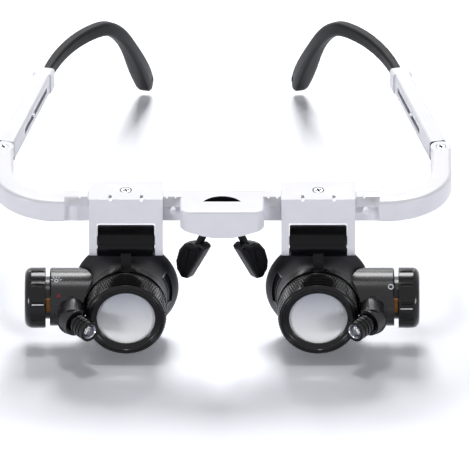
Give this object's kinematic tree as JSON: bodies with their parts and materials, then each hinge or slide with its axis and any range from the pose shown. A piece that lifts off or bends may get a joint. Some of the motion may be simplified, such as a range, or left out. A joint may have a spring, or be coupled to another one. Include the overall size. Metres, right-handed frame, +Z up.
{
  "type": "binocular glasses",
  "caption": "Head-worn magnifying glasses: white frame, two flip-up lens units with eye cups and battery lamps on sliding carriages, folding telescopic temples.",
  "frame": {"origin": "middle of the overall width and length, on the table that the glasses stand on", "axes": "+Z up, -Y the way the wearer looks, +X to the right of someone who faces the front"},
  "size_m": [0.1532, 0.1948, 0.0572],
  "materials": {
    "white_plastic": "gloss",
    "black_gloss_plastic": "gloss",
    "black_satin_plastic": "satin",
    "grey_rubber": "satin",
    "grey_rubber_sleeve": "satin",
    "black_silicone": "matte",
    "dark_steel": "satin",
    "steel": "satin",
    "nickel_steel": "satin",
    "brass": "satin",
    "glass": "polished",
    "clear_epoxy": "polished"
  },
  "bodies": {
    "frame": {"frame_front": "white_plastic", "rail_stop_pins": "dark_steel", "temple_hinge_screws": "dark_steel", "nose_pad_stem_right": "black_satin_plastic", "nose_pad_right": "black_silicone", "nose_pad_stem_left": "black_satin_plastic", "nose_pad_left": "black_silicone"},
    "carriage_right": {"carriage_right": "white_plastic", "carriage_rear_right": "white_plastic", "carriage_screws_right": "dark_steel", "clamp_screw_right": "dark_steel", "hinge_pin_right": "steel"},
    "optic_right": {"lens_holder_right": "black_satin_plastic", "eye_cup_right": "grey_rubber", "battery_housing_right": "black_gloss_plastic", "battery_cells_right": "nickel_steel", "contact_leaf_right": "steel", "contact_tab_right": "brass"},
    "barrel_right": {"lens_barrel_right": "black_gloss_plastic", "front_bezel_right": "black_gloss_plastic", "front_lens_right": "glass", "lens_spacer_right": "black_satin_plastic", "rear_lens_right": "glass", "rear_ring_right": "black_satin_plastic"},
    "cap_right": {"battery_cap_right": "black_gloss_plastic", "cap_contact_right": "brass"},
    "lamp_right": {"lamp_head_right": "black_gloss_plastic", "led_right": "clear_epoxy"},
    "temple_right": {"temple_right": "white_plastic"},
    "leg_right": {"temple_leg_right": "black_satin_plastic", "leg_guide_pin_right": "steel", "ear_sleeve_right": "grey_rubber_sleeve"},
    "carriage_left": {"carriage_left": "white_plastic", "carriage_rear_left": "white_plastic", "carriage_screws_left": "dark_steel", "clamp_screw_left": "dark_steel", "hinge_pin_left": "steel"},
    "optic_left": {"lens_holder_left": "black_satin_plastic", "eye_cup_left": "grey_rubber", "battery_housing_left": "black_gloss_plastic", "battery_cells_left": "nickel_steel", "contact_leaf_left": "steel", "contact_tab_left": "brass"},
    "barrel_left": {"lens_barrel_left": "black_gloss_plastic", "front_bezel_left": "black_gloss_plastic", "front_lens_left": "glass", "lens_spacer_left": "black_satin_plastic", "rear_lens_left": "glass", "rear_ring_left": "black_satin_plastic"},
    "cap_left": {"battery_cap_left": "black_gloss_plastic", "cap_contact_left": "brass"},
    "lamp_left": {"lamp_head_left": "black_gloss_plastic", "led_left": "clear_epoxy"},
    "temple_left": {"temple_left": "white_plastic"},
    "leg_left": {"temple_leg_left": "black_satin_plastic", "leg_guide_pin_left": "steel", "ear_sleeve_left": "grey_rubber_sleeve"}
  },
  "joints": [
    {"name": "carriage_slide_right", "type": "slide", "parent": "frame", "child": "carriage_right", "axis": [1, 0, 0], "range_m": [-0.0045, 0.0022]},
    {"name": "lens_flip_right", "type": "hinge", "parent": "carriage_right", "child": "optic_right", "pos_m": [0.032, -0.07102, 0.0386], "axis": [-1, 0, 0], "range_deg": [-5, 90]},
    {"name": "barrel_turn_right", "type": "hinge", "parent": "optic_right", "child": "barrel_right", "pos_m": [0.032, -0.08692, 0.0175], "axis": [0, 1, 0], "range_deg": [0, 60]},
    {"name": "cap_switch_right", "type": "hinge", "parent": "optic_right", "child": "cap_right", "pos_m": [0.06, -0.07252, 0.0175], "axis": [1, 0, 0], "range_deg": [-40, 40]},
    {"name": "lamp_tilt_right", "type": "hinge", "parent": "optic_right", "child": "lamp_right", "pos_m": [0.0498, -0.08732, 0.0175], "axis": [0.809, -0.5878, 0], "range_deg": [-12, 12]},
    {"name": "temple_fold_right", "type": "hinge", "parent": "frame", "child": "temple_right", "pos_m": [0.0731, -0.03692, 0.0513], "axis": [0, 0, 1], "range_deg": [0, 66]},
    {"name": "leg_slide_right", "type": "slide", "parent": "temple_right", "child": "leg_right", "axis": [-0.2436, 0.9699, 0], "range_m": [-0.0006, 0.012]},
    {"name": "carriage_slide_left", "type": "slide", "parent": "frame", "child": "carriage_left", "axis": [1, 0, 0], "range_m": [-0.008, 0.0022]},
    {"name": "lens_flip_left", "type": "hinge", "parent": "carriage_left", "child": "optic_left", "pos_m": [-0.032, -0.07102, 0.0386], "axis": [-1, 0, 0], "range_deg": [-5, 90]},
    {"name": "barrel_turn_left", "type": "hinge", "parent": "optic_left", "child": "barrel_left", "pos_m": [-0.032, -0.08692, 0.0175], "axis": [0, 1, 0], "range_deg": [0, 60]},
    {"name": "cap_switch_left", "type": "hinge", "parent": "optic_left", "child": "cap_left", "pos_m": [-0.06, -0.07252, 0.0175], "axis": [1, 0, 0], "range_deg": [-40, 40]},
    {"name": "lamp_tilt_left", "type": "hinge", "parent": "optic_left", "child": "lamp_left", "pos_m": [-0.0498, -0.08732, 0.0175], "axis": [0.809, 0.5878, 0], "range_deg": [-12, 12]},
    {"name": "temple_fold_left", "type": "hinge", "parent": "frame", "child": "temple_left", "pos_m": [-0.0731, -0.03692, 0.0513], "axis": [0, 0, -1], "range_deg": [0, 79]},
    {"name": "leg_slide_left", "type": "slide", "parent": "temple_left", "child": "leg_left", "axis": [0.2436, 0.9699, 0], "range_m": [-0.0006, 0.012]}
  ]
}
